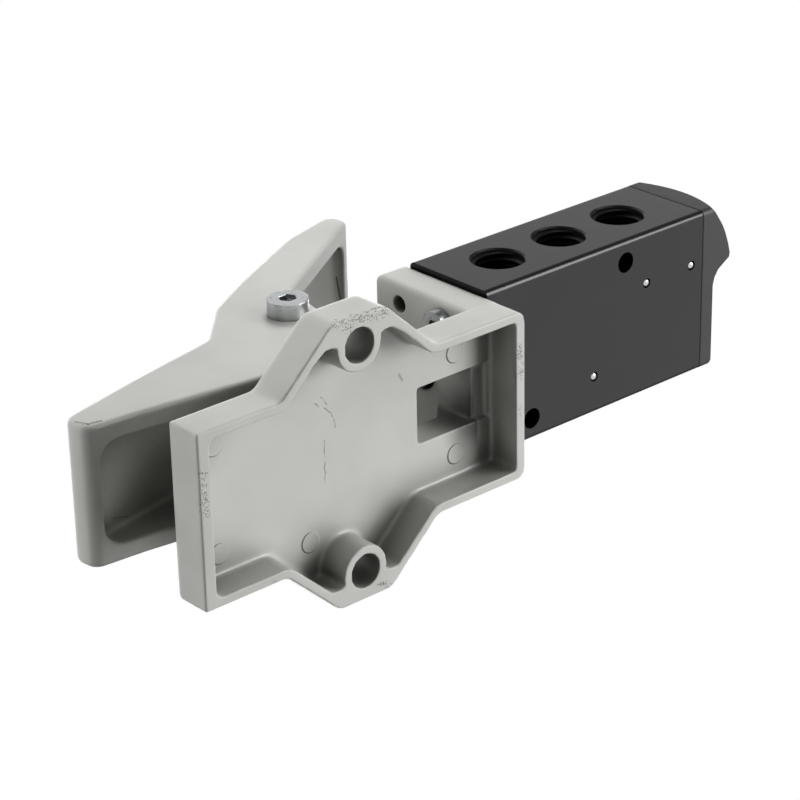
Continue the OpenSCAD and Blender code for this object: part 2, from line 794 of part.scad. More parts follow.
// Coil wound along X; its end coils lie on the spool and on the seat
module return_spring() {
    n = 16;
    k = 8;
    x0 = spool_end + spring_wire / 2 + 0.05;
    x1 = seat_x - spring_wire / 2 - 0.05;
    steps = round(spring_turns * n);
    color([0.66, 0.67, 0.70])
    translate([0, 0, axis_z])
        skin([for (i = [0:steps])
            let (a = 360 * i / n, x = x0 + (x1 - x0) * i / steps)
            [for (j = [0:k - 1])
                let (b = -360 * j / k, r = spring_d / 2 + spring_wire / 2 * cos(b))
                [x + spring_wire / 2 * sin(b), r * cos(a), r * sin(a)]]]);
}

module spring_seat() {
    color([0.70, 0.71, 0.73])
    translate([0, 0, axis_z])
        bar_x(seat_x, seat_x + seat_t - fit_gap, bore_r - 0.6);
}

module cap_seal() {
    color([0.12, 0.12, 0.12])
    translate([valve_end + 0.9, 0, axis_z])
        rotate([0, 90, 0])
            rotate_extrude()
                translate([bore_r + 2, 0])
                    circle(d = seal_d, $fn = 24);
}

// Outer edge of the cap in plan, seen along Z, as [depth, y] points; the ends overrun the body's sides
function cap_edge() =
    let (t = cap_base_t, h = cap_hump, y0 = valve_w / 2)
    [
        [-cut, -y0 - 0.5], [cap_top_t - 0.2, -y0 - 0.5], [cap_top_t, -y0], [t + h * 0.03, -y0 + 1.2],
        [t + h * 0.31, -y0 + 3.7], [t + h * 0.51, -y0 + 5.6], [t + h * 0.68, -y0 + 7.7],
        [t + h * 0.88, -y0 + 11], [t + h, -y0 + 13.8], [t + h * 0.96, -y0 + 15],
        [t + h * 0.66, -y0 + 16], [t + h * 0.31, -y0 + 17.3], [t + h * 0.10, -y0 + 19.1],
        [t, -y0 + 21.2], [t, y0 - 1.5], [t * 0.85, y0 - 0.4], [0.8, y0 + 0.5], [-cut, y0 + 0.5]
    ];

// Cap lofted up its height, deeper in the middle than at the top and bottom
module end_cap() {
    half = valve_t / 2 + 0.4;
    color([0.16, 0.16, 0.17])
    translate([0, 0, axis_z])
    difference() {
        intersection() {
            skin([for (k = [-6:6])
                let (z = half * k / 6, bulge = cap_crown * (1 - pow(k / 6, 2)))
                [for (p = cap_edge()) [valve_end + p[0] + (p[0] > 0 ? bulge : 0), p[1], z]]]);
            union() {
                // A narrower root leaves the seam line between cap and body
                round_block(valve_end, valve_end + cap_seam + 0.1, valve_w - 2 * cap_seam,
                    valve_t - 2 * cap_seam, valve_edge_r - cap_seam);
                round_block(valve_end + cap_seam, valve_end + far, valve_w, valve_t, valve_edge_r);
            }
        }
        bar_x(valve_end - cut, seat_x + seat_t, bore_r - 0.5);
        translate([valve_end, 0, 0])
            difference() {
                bar_x(-cut, 1.75, bore_r + 2 + seal_d / 2 + fit_gap);
                bar_x(-2 * cut, 3, bore_r + 2 - seal_d / 2 - fit_gap);
            }
        for (y = [-cap_screw_y, cap_screw_y], z = [-cap_screw_z, cap_screw_z])
            translate([valve_end, y, z]) {
                bar_x(-cut, far, cap_screw_d / 2 + 0.2);
                bar_x(cap_base_t - cap_head_sink, far, cap_head_d / 2 + 0.2);
            }
    }
}

// Pan-head screw sunk in the cap, at one corner
module cap_screw(y, z) {
    x0 = valve_end + cap_base_t - cap_head_sink;
    color([0.60, 0.61, 0.63])
    translate([0, y, axis_z + z])
    difference() {
        union() {
            bar_x(valve_end - cap_bite, x0 + 0.5, cap_screw_d / 2);
            bar_x(x0, x0 + cap_head_h, cap_head_d / 2);
        }
        hex_x(x0 + 0.8, x0 + cap_head_h + cut, 2);
    }
}

base();
pedal();
pivot_screw();
pivot_washer();
pivot_nut();
ear_bush(-1);  // bush_left
ear_bush(1);  // bush_right
valve_screw(-screw_y, -screw_z);  // valve_screw_1
valve_screw(screw_y, screw_z);  // valve_screw_2
valve_body();
plug_ball(0);  // ball_1
plug_ball(1);  // ball_2
plug_ball(2);  // ball_3
guide_bush();
wiper_seal();
plunger();
spool();
spool_seal(0);  // spool_seal_1
spool_seal(1);  // spool_seal_2
spool_seal(2);  // spool_seal_3
spool_seal(3);  // spool_seal_4
spool_seal(4);  // spool_seal_5
spool_seal(5);  // spool_seal_6
return_spring();
spring_seat();
cap_seal();
end_cap();
cap_screw(-cap_screw_y, -cap_screw_z);  // cap_screw_1
cap_screw(-cap_screw_y, cap_screw_z);  // cap_screw_2
cap_screw(cap_screw_y, -cap_screw_z);  // cap_screw_3
cap_screw(cap_screw_y, cap_screw_z);  // cap_screw_4
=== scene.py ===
"""Looks of the foot pedal valve: materials, soft castings, spring, threads, light and camera."""

import math

import bmesh
import bpy
import numpy as np
from mathutils import Matrix, Vector

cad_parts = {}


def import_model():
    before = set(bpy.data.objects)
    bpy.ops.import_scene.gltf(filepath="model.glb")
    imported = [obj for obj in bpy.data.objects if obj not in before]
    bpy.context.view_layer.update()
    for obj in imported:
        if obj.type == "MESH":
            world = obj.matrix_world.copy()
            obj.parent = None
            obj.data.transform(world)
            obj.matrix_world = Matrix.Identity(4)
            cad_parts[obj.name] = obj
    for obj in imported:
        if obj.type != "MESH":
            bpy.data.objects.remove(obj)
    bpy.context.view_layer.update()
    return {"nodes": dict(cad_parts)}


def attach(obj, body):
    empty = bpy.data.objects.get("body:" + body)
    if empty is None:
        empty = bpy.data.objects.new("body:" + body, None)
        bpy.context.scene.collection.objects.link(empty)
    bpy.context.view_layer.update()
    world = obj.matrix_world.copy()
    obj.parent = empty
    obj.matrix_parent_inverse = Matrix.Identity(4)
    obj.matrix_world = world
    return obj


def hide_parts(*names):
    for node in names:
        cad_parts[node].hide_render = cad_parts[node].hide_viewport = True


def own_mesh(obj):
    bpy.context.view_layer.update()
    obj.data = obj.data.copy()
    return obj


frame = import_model()
NODES = frame["nodes"]
MM = 0.001

# Camera below the floor, as the photograph was taken: its place, and its line of sight in degrees
CAMERA_AT = Vector((-360.463, -272.803, -424.211)) * MM
CAMERA_AZIMUTH = 35.123
CAMERA_HEIGHT = 43.014
CAMERA_ROLL = -65.59
LENS_MM = 124.64
SENSOR_MM = 36

# Point that the lamps face and that the floor lies about
CENTRE = Vector((0.035, 0.0, 0.035))

# Lamps: name, azimuth and height in degrees, watts, side in metres, whether it shows as a highlight
LAMPS = (
    ("right_box", 355, -47, 4.5, 0.45, False),
    ("low_box", 45, -45, 1.9, 0.45, False),
    ("top_right_box", 300, 24, 4.2, 0.4, False),
    ("top_left_box", 228, 30, 1.9, 0.4, False),
    ("left_box", 180, 24, 2.0, 0.35, False),
    ("side_box", 350, 5, 1.8, 0.3, False),
    ("low_left_box", 180, 5, 0.5, 0.35, False),
    ("back_box", 80, 35, 1.2, 0.4, False),
    ("front_box", 318, -28, 0.9, 0.35, False),
    ("edge_box", 325, -43, 4.6, 0.42, True),
)
LAMP_DISTANCE = 0.8

# Tent that only glossy faces see: its strengths, sines of the heights between which it brightens,
# the middle of its bright patch, and cosines of the angles from there between which that builds up
TENT_HORIZON = 0.07
TENT_ABOVE = 0.54
TENT_BELOW = 0.95
TENT_GLOW = 1.8
TENT_RISE = (0.3, 0.6)
GLOW_AZIMUTH = 35.1
GLOW_HEIGHT = 43.0
GLOW_EDGE = (0.74, 0.97)
WORLD_FILL = 0.02

# Floor: radius in metres, and how far it lies below the part so that no faces coincide
FLOOR_RADIUS = 0.45
FLOOR_DROP = 0.0004

# Sizes in millimetres that the part's solids have too
UNDER_Z = 8.4
AXIS_Z = 27.2
BODY_HALF = 21.7
PORT_X = (67.7, 78.05, 88.4, 98.75, 109.1)
SCREW_Y = 14.9
SCREW_Z = 7.5
# Drilled holes of the base: axis number, centre on the other two axes, radius
BASE_BORES = (
    (2, 0.0, -28.1, 4.2),
    (2, 0.0, 28.1, 4.2),
    *((0, y, AXIS_Z + z, 2.15) for y in (-SCREW_Y, SCREW_Y) for z in (-SCREW_Z, SCREW_Z)),
)
# Web that joins a lug's boss to its rim: outline of one quarter, what the +Y lug's adds to Y,
# and the signs of X and Y in the four quarters
LUG_WEB = (
    (13.3, 27.1), (11.0, 28.7), (9.8, 29.5), (8.6, 29.7), (7.4, 29.6),
    (6.4, 29.0), (5.7, 27.9), (3.7, 32.0), (6.8, 33.8), (12.6, 29.0),
)
LUG_WEB_SHIFT = 0.6
QUARTERS = ((-1, -1), (1, -1), (-1, 1), (1, 1))

# Soft castings: voxel, passes that build up inner corners, share of faces kept, margin of a bore
VOXEL = 0.3
FILL_PASSES = 22
FACES_KEPT = 0.2
BORE_MARGIN = 0.45
# How far a pass moves a point towards the middle of its neighbours
PASS_SHARE = 0.6

# Thread of the ports
THREAD_MAJOR_R = 6.58
THREAD_MINOR_R = 5.72
THREAD_PITCH = 1.337
THREAD_TOP = 0.6
THREAD_LENGTH = 9.4
THREAD_OVERLAP = 0.05
THREAD_STEPS = 40
THREAD_FADE_STEPS = 12


def direction(azimuth, height):
    """Unit vector at an azimuth from +X and a height above the horizon, in degrees."""
    a = math.radians(azimuth)
    h = math.radians(height)
    return Vector((math.cos(h) * math.cos(a), math.cos(h) * math.sin(a), math.sin(h)))


def add_object(name, data):
    made = bpy.data.objects.new(name, data)
    bpy.context.scene.collection.objects.link(made)
    return made


# Node tree helpers: a value may be a number, a tuple or another node's output
def put(tree, socket, value):
    if isinstance(value, bpy.types.NodeSocket):
        tree.links.new(value, socket)
    elif value is not None:
        socket.default_value = value


def add(tree, kind, settings=(), **inputs):
    node = tree.nodes.new(kind)
    for name, value in dict(settings).items():
        setattr(node, name, value)
    for name, value in inputs.items():
        put(tree, node.inputs[name.replace("_", " ")], value)
    return node


def maths(tree, operation, a, b=None, c=None):
    node = add(tree, "ShaderNodeMath", {"operation": operation})
    for i, value in enumerate((a, b, c)):
        put(tree, node.inputs[i], value)
    return node.outputs[0]


def largest(tree, values):
    total = values[0]
    for value in values[1:]:
        total = maths(tree, "MAXIMUM", total, value)
    return total


def place(tree):
    return add(tree, "ShaderNodeTexCoord").outputs["Object"]


def noise(tree, size_mm, detail=2.0, distortion=0.0, at=None):
    node = add(tree, "ShaderNodeTexNoise", Scale=1 / (size_mm * MM), Detail=detail,
               Distortion=distortion, Vector=at or place(tree))
    return node.outputs["Fac"]


def step(tree, value, low, high):
    node = add(tree, "ShaderNodeMapRange", {"interpolation_type": "SMOOTHSTEP"},
               Value=value, From_Min=low, From_Max=high)
    return node.outputs["Result"]


def blend(tree, share, a, b):
    node = add(tree, "ShaderNodeMix", {"data_type": "RGBA"})
    put(tree, node.inputs["Factor"], share)
    put(tree, node.inputs["A"], (*a, 1) if isinstance(a, tuple) else a)
    put(tree, node.inputs["B"], (*b, 1) if isinstance(b, tuple) else b)
    return node.outputs["Result"]


def bump(tree, height, depth_mm, below=None):
    node = add(tree, "ShaderNodeBump", Strength=1.0, Distance=depth_mm * MM, Height=height)
    put(tree, node.inputs["Normal"], below)
    return node.outputs["Normal"]


def crevice(tree, reach_mm):
    """1 on open faces, falling towards 0 deep in corners, holes and pockets."""
    return add(tree, "ShaderNodeAmbientOcclusion", {"samples": 6}, Distance=reach_mm * MM).outputs["AO"]


def segment_distance(tree, a, b, at=None):
    """Distance from a segment whose ends are in millimetres."""
    start = Vector(a) * MM
    along = (Vector(b) - Vector(a)) * MM
    offset = add(tree, "ShaderNodeVectorMath", {"operation": "SUBTRACT"})
    put(tree, offset.inputs[0], at or place(tree))
    offset.inputs[1].default_value = start
    share = add(tree, "ShaderNodeVectorMath", {"operation": "DOT_PRODUCT"})
    put(tree, share.inputs[0], offset.outputs["Vector"])
    share.inputs[1].default_value = along / along.length_squared
    held = add(tree, "ShaderNodeClamp", Value=share.outputs["Value"])
    foot = add(tree, "ShaderNodeVectorMath", {"operation": "MULTIPLY_ADD"})
    foot.inputs[0].default_value = -along
    put(tree, foot.inputs[1], held.outputs["Result"])
    put(tree, foot.inputs[2], offset.outputs["Vector"])
    length = add(tree, "ShaderNodeVectorMath", {"operation": "LENGTH"}, Vector=foot.outputs["Vector"])
    return length.outputs["Value"]


def distance(tree, point_mm):
    node = add(tree, "ShaderNodeVectorMath", {"operation": "DISTANCE"})
    put(tree, node.inputs[0], place(tree))
    node.inputs[1].default_value = [c * MM for c in point_mm]
    return node.outputs["Value"]


def new_material(name, metallic, specular=0.5):
    made = bpy.data.materials.new(name)
    made.use_nodes = True
    tree = made.node_tree
    shader = tree.nodes["Principled BSDF"]
    shader.inputs["Metallic"].default_value = metallic
    shader.inputs["Specular IOR Level"].default_value = specular
    return made, tree, shader


def set_roughness(tree, shader, low, spread, size_mm):
    """Roughness that wanders upwards from a low value, in patches of a size."""
    patches = noise(tree, size_mm)
    put(tree, shader.inputs["Roughness"], maths(tree, "MULTIPLY_ADD", patches, spread, low))


PAINT = (0.655, 0.66, 0.625)
PAINT_DARK = (0.585, 0.59, 0.555)
# Dark of scuffs, flow marks, folds and scratches, and of the painted shadows beside the pin pads
GRIME_AND_SHADOW = (0.10, 0.10, 0.09)
SHADE = (0.07, 0.072, 0.062)
# Painted shade deep in the ports, holes and grooves of the black parts
DEEP_SHADE_BLACK = (0.004, 0.004, 0.004)
# Dark of the specks on plated metal, and painted shade on its sheltered faces
FILM_AND_SHADE = (0.10, 0.11, 0.10)

# How far each kind of mark darkens the paint, and how far it stands out in millimetres
SCUFF_DARK = 0.78
FLOW_DARK = 0.35
# Darkness of the painted shadows beside the pin pads:
PIN_SHADOW_DARK = 0.7
FLOW_DEPTH = -0.12
PIN_DEPTH = 0.3

# Ejector pin marks on the plate's underside: centres, radius and slope of the edge
PIN_MARKS = ((-35.0, -12.5), (-34.9, 14.0), (-9.0, 20.65), (36.05, -12.6), (36.0, 13.5))
PIN_MARK_R = 2.55
PIN_MARK_EDGE = 0.16

# Flow marks that the melt left on the underside: two ends of each line
FLOW_MARKS = (
    ((-4.1, -3.4), (-4.3, 7.7)),
    ((-1.6, -9.2), (-0.5, -5.5)),
    ((-6.4, -13.0), (-1.9, -9.6)),
    ((-4.6, -14.2), (-3.2, -12.0)),
    ((18.6, -12.6), (19.6, -10.6)),
)

# Scuffs on rims and edges: two ends of each band, reach and strength
BASE_SCUFFS = (
    ((-6.4, -34.9, 0.0), (8.4, -33.9, 0.0), 2.6, 1.0),
    ((-3.4, -32.9, 0.0), (-1.6, -31.2, 0.0), 1.6, 0.8),
    ((48.9, -12.4, 0.0), (49.2, -5.4, 0.0), 2.2, 1.0),
    ((49.0, 2.5, 0.0), (49.0, 4.5, 0.0), 1.2, 0.7),
    ((-44.6, -11.8, 0.0), (-44.5, -2.0, 0.0), 2.0, 0.85),
    ((4.1, 33.0, 0.0), (6.5, 34.2, 0.0), 1.6, 0.95),
    ((-26.7, 20.7, 0.0), (-26.0, 21.2, 0.0), 0.9, 0.8),
)
PEDAL_SCUFFS = (
    ((-55.1, -17.4, 29.0), (-51.8, -17.4, 27.4), 1.2, 0.35),
    ((24.2, -17.5, 47.6), (26.8, -17.5, 47.8), 1.8, 0.9),
)

# Painted shade in corners: centre, reach, share and the last X that it covers
BASE_PAINTED_SHADE = ((42.2, 6.0, 10.5), 12.0, 0.9, 42.7)
PEDAL_PAINTED_SHADE = ((-27.0, 9.0, 33.0), 22.0, 0.75, 0.0)

# Folds and scratches on the pedal: two ends, half width, depth and how dark
PEDAL_LINES = (
    ((-55.4, -17.4, 30.4), (-54.2, -17.4, 27.6), 0.45, -0.2, 0.45),
    ((-54.2, -17.4, 27.6), (-51.2, -17.4, 27.0), 0.45, -0.2, 0.45),
    ((-46.4, 9.8, 31.8), (-43.6, 10.7, 32.5), 0.22, 0.2, 0.0),
    ((-43.6, 10.7, 32.5), (-40.6, 11.5, 33.2), 0.22, 0.2, 0.0),
    ((61.4, -3.0, 80.8), (61.9, 2.9, 80.1), 0.4, -0.1, 0.9),
    ((64.3, -1.2, 80.0), (63.9, 3.6, 79.7), 0.35, -0.1, 0.95),
)


def scuff_share(tree, marks):
    """Share of dark specks: strong near each mark, nothing far from all of them."""
    speck_mm = 0.45
    patch_mm = 1.6
    grain = noise(tree, speck_mm, 2.0)
    levels = []
    for a, b, reach, strength in marks:
        near = step(tree, segment_distance(tree, a, b), reach * MM, 0.0)
        levels.append(maths(tree, "MULTIPLY", near, strength))
    patches = step(tree, noise(tree, patch_mm, 2.0), 0.3, 0.62)
    total = maths(tree, "MULTIPLY", largest(tree, levels), patches)
    specks = step(tree, maths(tree, "MULTIPLY_ADD", total, 0.19, grain), 0.64, 0.70)
    return maths(tree, "MULTIPLY", specks, step(tree, total, 0.02, 0.2))


def on_underside(tree):
    """1 on the plate's underside, 0 on every other face of the base."""
    apart = add(tree, "ShaderNodeSeparateXYZ", Vector=place(tree))
    above = step(tree, apart.outputs["Z"], (UNDER_Z + 0.4) * MM, (UNDER_Z + 0.2) * MM)
    below = step(tree, apart.outputs["Z"], (UNDER_Z - 0.6) * MM, (UNDER_Z - 0.3) * MM)
    return maths(tree, "MULTIPLY", above, below)


def pin_mark_height(tree):
    """Low round pads that the ejector pins left."""
    pads = []
    for x, y in PIN_MARKS:
        away = distance(tree, (x, y, UNDER_Z))
        outer, inner = PIN_MARK_R + PIN_MARK_EDGE, PIN_MARK_R - PIN_MARK_EDGE
        pads.append(step(tree, away, outer * MM, inner * MM))
    return maths(tree, "MULTIPLY", largest(tree, pads), on_underside(tree))


def pin_mark_shade(tree):
    """Painted shadows beside the pads: dark crescents from discs set a little aside, less the pads
    themselves.
    """
    aside_x, aside_y = 0.36, 0.08
    disc_r = PIN_MARK_R + 0.06
    edge = 0.08
    crescents = []
    for x, y in PIN_MARKS:
        shifted = distance(tree, (x - aside_x, y - aside_y, UNDER_Z))
        away = distance(tree, (x, y, UNDER_Z))
        disc = step(tree, shifted, (disc_r + edge) * MM, (disc_r - edge) * MM)
        beside = step(tree, away, (PIN_MARK_R - edge) * MM, (PIN_MARK_R + edge) * MM)
        crescents.append(maths(tree, "MULTIPLY", disc, beside))
    return maths(tree, "MULTIPLY", largest(tree, crescents), on_underside(tree))


def flow_mark_share(tree):
    """Broken wavy lines where streams of melt met."""
    wave_mm, sway_mm = 2.2, 1.1
    half_mm, core_mm = 0.3, 0.05
    gap_mm = 1.1
    wander = add(tree, "ShaderNodeTexNoise", Scale=1 / (wave_mm * MM), Detail=2.0, Vector=place(tree))
    bent = add(tree, "ShaderNodeVectorMath", {"operation": "MULTIPLY_ADD"})
    put(tree, bent.inputs[0], wander.outputs["Color"])
    bent.inputs[1].default_value = (sway_mm * MM, sway_mm * MM, 0)
    put(tree, bent.inputs[2], place(tree))
    back = add(tree, "ShaderNodeVectorMath", {"operation": "SUBTRACT"})
    put(tree, back.inputs[0], bent.outputs["Vector"])
    back.inputs[1].default_value = (sway_mm / 2 * MM, sway_mm / 2 * MM, 0)
    lines = []
    for a, b in FLOW_MARKS:
        away = segment_distance(tree, (*a, UNDER_Z), (*b, UNDER_Z), back.outputs["Vector"])
        lines.append(step(tree, away, half_mm * MM, core_mm * MM))
    broken = step(tree, noise(tree, gap_mm, 2.0), 0.36, 0.51)
    share = maths(tree, "MULTIPLY", largest(tree, lines), broken)
    return maths(tree, "MULTIPLY", share, on_underside(tree))


def painted_corner_shade(tree, point_mm, reach_mm, share, last_x):
    """Painted shade about a point, up to a place along X and on no face that looks up."""
    apart = add(tree, "ShaderNodeSeparateXYZ", Vector=place(tree))
    here = step(tree, apart.outputs["X"], (last_x + 0.5) * MM, last_x * MM)
    normal = add(tree, "ShaderNodeTexCoord").outputs["Normal"]
    rise = add(tree, "ShaderNodeSeparateXYZ", Vector=normal).outputs["Z"]
    hidden = step(tree, rise, 0.6, 0.3)
    near = step(tree, distance(tree, point_mm), reach_mm * MM, 0.25 * reach_mm * MM)
    share = maths(tree, "MULTIPLY", hidden, share)
    return maths(tree, "MULTIPLY", maths(tree, "MULTIPLY", near, here), share)


def casting_paint(name, marks, painted_shade, reach_mm, open_share, closed_share, underside=False, lines=()):
    """Pale paint with painted shade that deepens as the open share of its surroundings falls."""
    made, tree, shader = new_material(name, 0.0)
    cloud_mm = 22.0
    wave_mm = 14.0
    orange_peel_mm = 0.9
    cloud = noise(tree, cloud_mm, 3.0)
    base = blend(tree, step(tree, cloud, 0.35, 0.75), PAINT, PAINT_DARK)
    # Painted shade: the paint darkens towards SHADE deep in corners, holes and pockets
    shelter = add(tree, "ShaderNodeMapRange", Value=crevice(tree, reach_mm), From_Min=open_share,
                  From_Max=closed_share)
    base = blend(tree, shelter.outputs["Result"], base, SHADE)
    colour = blend(tree, maths(tree, "MULTIPLY", scuff_share(tree, marks), SCUFF_DARK), base, GRIME_AND_SHADOW)
    set_roughness(tree, shader, low=0.26, spread=0.14, size_mm=3.0)
    normal = bump(tree, noise(tree, wave_mm, 2.0), 0.10)
    normal = bump(tree, noise(tree, orange_peel_mm, 2.0), 0.008, normal)
    if underside:
        flow = flow_mark_share(tree)
        normal = bump(tree, pin_mark_height(tree), PIN_DEPTH, normal)
        normal = bump(tree, flow, FLOW_DEPTH, normal)
        colour = blend(tree, maths(tree, "MULTIPLY", flow, FLOW_DARK), colour, GRIME_AND_SHADOW)
        # Painted shadows beside the pin pads
        colour = blend(tree, maths(tree, "MULTIPLY", pin_mark_shade(tree), PIN_SHADOW_DARK), colour, GRIME_AND_SHADOW)
    # Painted shade about a given point, darkening the paint towards SHADE
    colour = blend(tree, painted_corner_shade(tree, *painted_shade), colour, SHADE)
    for a, b, half_mm, depth_mm, dark in lines:
        near = step(tree, segment_distance(tree, a, b), half_mm * MM, 0.2 * half_mm * MM)
        normal = bump(tree, near, depth_mm, normal)
        colour = blend(tree, maths(tree, "MULTIPLY", near, dark), colour, GRIME_AND_SHADOW)
    put(tree, shader.inputs["Base Color"], colour)
    put(tree, shader.inputs["Normal"], normal)
    return made


def black_anodised():
    open_gloss = 0.40
    deep_gloss = 0.06
    made, tree, shader = new_material("black_anodised", 0.0, open_gloss)
    mist = noise(tree, 9.0, 4.0)
    open_face = blend(tree, mist, (0.013, 0.013, 0.0145), (0.018, 0.018, 0.0195))
    # Painted shade: darker and less glossy deep in the ports and holes
    deep = step(tree, crevice(tree, 8.0), 0.85, 0.5)
    put(tree, shader.inputs["Base Color"], blend(tree, deep, open_face, DEEP_SHADE_BLACK))
    put(tree, shader.inputs["Specular IOR Level"],
        maths(tree, "MULTIPLY_ADD", deep, deep_gloss - open_gloss, open_gloss))
    set_roughness(tree, shader, low=0.21, spread=0.06, size_mm=1.4)
    put(tree, shader.inputs["Normal"], bump(tree, noise(tree, 0.25, 2.0), 0.004))
    return made


def black_plastic():
    made, tree, shader = new_material("black_plastic", 0.0)
    open_face = blend(tree, noise(tree, 6.0, 3.0), (0.030, 0.030, 0.032), (0.038, 0.038, 0.040))
    # Painted shade: darker deep in the cap's seam and corners
    deep = step(tree, crevice(tree, 2.0), 0.8, 0.4)
    put(tree, shader.inputs["Base Color"], blend(tree, deep, open_face, DEEP_SHADE_BLACK))
    set_roughness(tree, shader, low=0.42, spread=0.14, size_mm=0.8)
    eased = add(tree, "ShaderNodeBevel", {"samples": 6}, Radius=0.7 * MM).outputs["Normal"]
    put(tree, shader.inputs["Normal"], bump(tree, noise(tree, 0.35, 3.0), 0.012, eased))
    return made


def metal(name, light, dark, roughness, spread, grain_mm, depth_mm, film_and_shade=0.0):
    """Bare or plated metal; film_and_shade is how far its dark specks and, as painted shade, its
    sheltered faces darken.
    """
    made, tree, shader = new_material(name, 1.0)
    colour = blend(tree, noise(tree, grain_mm * 4, 3.0), light, dark)
    if film_and_shade:
        # Painted shade on sheltered faces, such as under screw heads; the specks are real dark spots
        shelter = step(tree, crevice(tree, 6.0), 0.97, 0.72)
        specks = step(tree, noise(tree, 0.8, 4.0), 0.60, 0.66)
        share = maths(tree, "MULTIPLY", largest(tree, (shelter, specks)), film_and_shade)
        colour = blend(tree, share, colour, FILM_AND_SHADE)
    put(tree, shader.inputs["Base Color"], colour)
    set_roughness(tree, shader, roughness, spread, grain_mm * 2)
    eased = add(tree, "ShaderNodeBevel", {"samples": 4}, Radius=0.5 * MM).outputs["Normal"]
    put(tree, shader.inputs["Normal"], bump(tree, noise(tree, grain_mm, 3.0), depth_mm, eased))
    return made


def seal_rubber():
    made, tree, shader = new_material("seal_rubber", 0.0, 0.4)
    shader.inputs["Roughness"].default_value = 0.6
    colour = blend(tree, noise(tree, 2.0, 3.0), (0.018, 0.018, 0.018), (0.030, 0.030, 0.030))
    put(tree, shader.inputs["Base Color"], colour)
    put(tree, shader.inputs["Normal"], bump(tree, noise(tree, 0.3, 2.0), 0.01))
    return made


def paint_nodes(made, *names):
    for name in names:
        slots = NODES[name].data.materials
        slots.clear()
        slots.append(made)


def row_sums(index, values, count):
    """Sums rows of values that share an index."""
    return np.stack([np.bincount(index, values[:, k], count) for k in range(3)], axis=1)


def vertex_normals(points, quads):
    first, second, third, fourth = (points[quads[:, k]] for k in range(4))
    cross = np.cross(third - first, fourth - second)
    total = sum(row_sums(quads[:, k], cross, len(points)) for k in range(4))
    return total / np.maximum(np.linalg.norm(total, axis=1, keepdims=True), 1e-20)


def bore_share(points, bores):
    """0 in and about each drilled hole, 1 elsewhere."""
    share = np.ones((len(points), 1))
    for axis, a, b, radius in bores:
        across = np.delete(points, axis, axis=1) - np.array((a, b)) * MM
        share[np.linalg.norm(across, axis=1) < (radius + BORE_MARGIN) * MM] = 0
    return share


def round_edges(mesh, rounds, bores):
    """Eases the edges in a few rounds, then builds up the inner corners only.

    The first round smooths the voxels' steps everywhere; later ones leave drilled holes alone.
    """
    count = len(mesh.vertices)
    points = np.empty(count * 3)
    mesh.vertices.foreach_get("co", points)
    points = points.reshape(-1, 3)
    ends = np.empty(len(mesh.edges) * 2, dtype=np.int64)
    mesh.edges.foreach_get("vertices", ends)
    a, b = ends[0::2], ends[1::2]
    degree = np.bincount(ends, minlength=count)[:, None]
    quads = np.empty(len(mesh.polygons) * 4, dtype=np.int64)
    mesh.polygons.foreach_get("vertices", quads)
    quads = quads.reshape(-1, 4)
    free = bore_share(points, bores)
    for i in range(rounds + FILL_PASSES):
        near = row_sums(a, points[b], count) + row_sums(b, points[a], count)
        shift = near / degree - points
        if i >= rounds:
            rise = np.sum(shift * vertex_normals(points, quads), axis=1, keepdims=True)
            shift = shift * (rise > 0)
        points = points + PASS_SHARE * (shift if i == 0 else shift * free)
    mesh.vertices.foreach_set("co", points.ravel())


def add_web(work, x_sign, y_sign):
    """Adds the lug's web of one quarter to a casting's mesh, from the rim into the plate."""
    sunk = 0.5
    shift = LUG_WEB_SHIFT if y_sign > 0 else 0
    low = [work.verts.new((x_sign * x * MM, y_sign * (y + shift) * MM, 0)) for x, y in LUG_WEB]
    high = [work.verts.new((*v.co.xy, (UNDER_Z + sunk) * MM)) for v in low]
    faces = [work.faces.new(low), work.faces.new(high)]
    for i in range(len(low)):
        j = (i + 1) % len(low)
        faces.append(work.faces.new((low[i], low[j], high[j], high[i])))
    bmesh.ops.recalc_face_normals(work, faces=faces)


def evaluated_mesh(piece):
    bpy.context.view_layer.update()
    graph = bpy.context.evaluated_depsgraph_get()
    return bpy.data.meshes.new_from_object(piece.evaluated_get(graph))


def soft_copy(node, name, rounds, bores, webs):
    """Copy of a casting's solid, with its webs, whose edges and inner corners are rounded."""
    mesh = NODES[node].data.copy()
    work = bmesh.new()
    work.from_mesh(mesh)
    bmesh.ops.remove_doubles(work, verts=work.verts, dist=1e-6)
    for x_sign, y_sign in webs:
        add_web(work, x_sign, y_sign)
    work.to_mesh(mesh)
    work.free()
    piece = add_object(name, mesh)
    remesh = piece.modifiers.new("voxels", "REMESH")
    remesh.mode = "VOXEL"
    remesh.voxel_size = VOXEL * MM
    fine = evaluated_mesh(piece)
    round_edges(fine, rounds, bores)
    piece.modifiers.clear()
    piece.data = fine
    fewer = piece.modifiers.new("fewer", "DECIMATE")
    fewer.ratio = FACES_KEPT
    done = evaluated_mesh(piece)
    piece.modifiers.clear()
    piece.data = done
    bpy.data.meshes.remove(mesh)
    bpy.data.meshes.remove(fine)
    done.materials.clear()
    done.polygons.foreach_set("use_smooth", [True] * len(done.polygons))
    return piece


